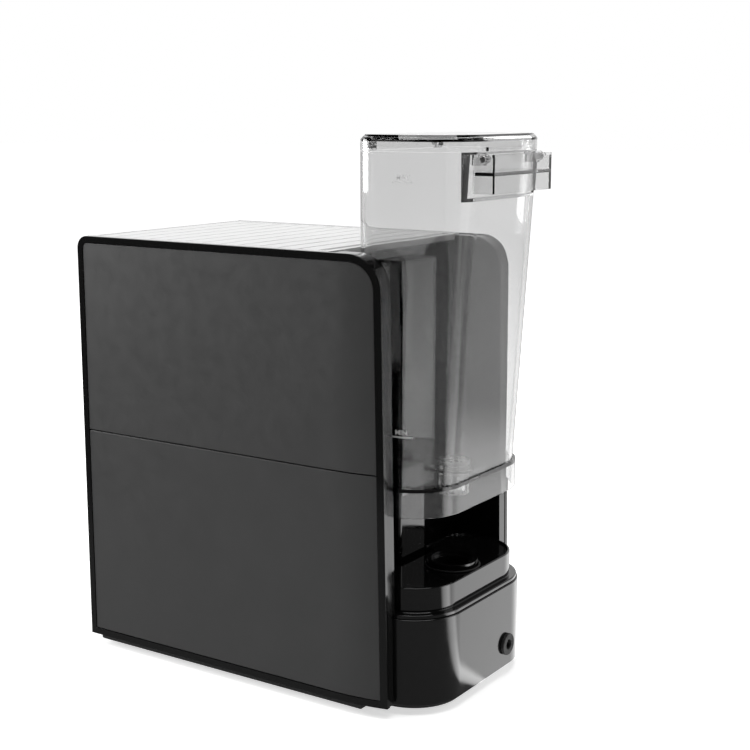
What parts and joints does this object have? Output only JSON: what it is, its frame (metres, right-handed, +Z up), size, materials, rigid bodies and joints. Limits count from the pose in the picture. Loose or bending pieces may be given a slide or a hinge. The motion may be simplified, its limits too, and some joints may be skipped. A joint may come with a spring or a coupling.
{
  "type": "pod coffee machine",
  "caption": "Compact pod coffee machine with a ribbed cup plate, pod drawer, drip tray and a tall lift-out water tank in a niche at the rear.",
  "frame": {"origin": "centre of the footprint on the table, under the feet", "axes": "+Z up, -Y the front with the cup bay, +Y the rear with the water tank, +X the side seen in the picture"},
  "size_m": [0.18, 0.344, 0.3915],
  "materials": {
    "charcoal_panel": "satin",
    "gloss_black": "gloss",
    "dark_gloss": "gloss",
    "dark_matte": "matte",
    "black_rubber": "matte",
    "steel": "polished",
    "satin_steel": "brushed",
    "cast_aluminium": "cast",
    "pale_plate": "satin",
    "white_plastic": "satin",
    "lens": "gloss",
    "green_board": "matte",
    "frosted_clear": "translucent",
    "smoked_clear": "clear, lightly smoked"
  },
  "bodies": {
    "machine": {"base_plate": "dark_matte", "base_shell": "dark_gloss", "rubber_feet": "black_rubber", "base_screws": "steel", "chassis_wall_right": "dark_matte", "chassis_wall_left": "dark_matte", "chassis_deck": "dark_matte", "side_panel_upper_right": "charcoal_panel", "side_panel_lower_right": "charcoal_panel", "side_panel_upper_left": "charcoal_panel", "side_panel_lower_left": "charcoal_panel", "edge_trim_right": "gloss_black", "edge_trim_left": "gloss_black", "niche_liner": "gloss_black", "rear_flange_right": "dark_gloss", "rear_flange_left": "dark_gloss", "tank_seat": "gloss_black", "valve_socket": "gloss_black", "seat_seal": "black_rubber", "cup_plate": "pale_plate", "front_fascia": "gloss_black", "lower_fascia": "gloss_black", "bay_liner": "gloss_black", "control_panel": "gloss_black", "indicator_lens": "lens", "spout": "gloss_black", "brew_housing": "dark_matte", "brew_bulkhead": "dark_matte", "lever_pins": "steel", "pump": "steel", "pump_mounts": "black_rubber", "thermoblock": "cast_aluminium", "flow_meter": "white_plastic", "hoses": "black_rubber", "control_board": "green_board", "cord_gland": "black_rubber"},
    "tank": {"tank_shell": "smoked_clear", "level_marks": "white_plastic", "valve_body": "frosted_clear", "valve_spring": "steel", "filter_screen": "frosted_clear", "lid_pins": "steel", "handle_pins": "steel"},
    "valve": {"valve_stem": "steel"},
    "lid": {"tank_lid": "smoked_clear"},
    "carry_handle": {"tank_handle": "smoked_clear"},
    "lever": {"brew_lever": "satin_steel", "lever_grip": "gloss_black"},
    "piston": {"brew_piston": "satin_steel", "piercing_needle": "steel"},
    "drawer": {"pod_drawer": "gloss_black", "pod_cup": "satin_steel"},
    "power_key": {"button_power": "satin_steel"},
    "short_key": {"button_short": "satin_steel"},
    "long_key": {"button_long": "satin_steel"},
    "tray": {"drip_tray": "gloss_black"},
    "grid": {"drip_grid": "satin_steel"},
    "pod_bin": {"used_pod_bin": "dark_matte"}
  },
  "joints": [
    {"name": "tank_lift", "type": "slide", "parent": "machine", "child": "tank", "axis": [0, 0, 1], "range_m": [-0.066, 0.19]},
    {"name": "tank_lid_hinge", "type": "hinge", "parent": "tank", "child": "lid", "pos_m": [0, 0.0775, 0.385], "axis": [1, 0, 0], "range_deg": [0, 100]},
    {"name": "carry_handle_hinge", "type": "hinge", "parent": "tank", "child": "carry_handle", "pos_m": [0, 0.163, 0.376], "axis": [1, 0, 0], "range_deg": [0, 75]},
    {"name": "tank_valve", "type": "slide", "parent": "tank", "child": "valve", "axis": [0, 0, 1], "range_m": [0, 0.004], "stiffness_N_per_m": 300, "deforming": ["valve_spring"]},
    {"name": "brew_lever_hinge", "type": "hinge", "parent": "machine", "child": "lever", "pos_m": [0, -0.138, 0.266], "axis": [-1, 0, 0], "range_deg": [0, 95]},
    {"name": "pod_drawer_slide", "type": "slide", "parent": "machine", "child": "drawer", "axis": [0, -1, 0], "range_m": [0, 0.045]},
    {"name": "brew_piston_slide", "type": "slide", "parent": "machine", "child": "piston", "axis": [0, 0, 1], "range_m": [0, 0.014]},
    {"name": "power_button", "type": "slide", "parent": "machine", "child": "power_key", "axis": [0, 1, 0], "range_m": [0, 0.0015], "stiffness_N_per_m": 700},
    {"name": "short_cup_button", "type": "slide", "parent": "machine", "child": "short_key", "axis": [0, 1, 0], "range_m": [0, 0.0015], "stiffness_N_per_m": 700},
    {"name": "long_cup_button", "type": "slide", "parent": "machine", "child": "long_key", "axis": [0, 1, 0], "range_m": [0, 0.0015], "stiffness_N_per_m": 700},
    {"name": "drip_tray_slide", "type": "slide", "parent": "machine", "child": "tray", "axis": [0, -1, 0], "range_m": [0, 0.1]},
    {"name": "drip_grid_lift", "type": "slide", "parent": "tray", "child": "grid", "axis": [0, 0, 1], "range_m": [0, 0.03]},
    {"name": "pod_bin_slide", "type": "slide", "parent": "machine", "child": "pod_bin", "axis": [0, -1, 0], "range_m": [0, 0.1]}
  ],
  "couplings": [
    {"joint": "pod_drawer_slide", "follows": "brew_lever_hinge", "m_per_rad": 0.0271},
    {"joint": "brew_piston_slide", "follows": "brew_lever_hinge", "m_per_rad": 0.0084}
  ]
}
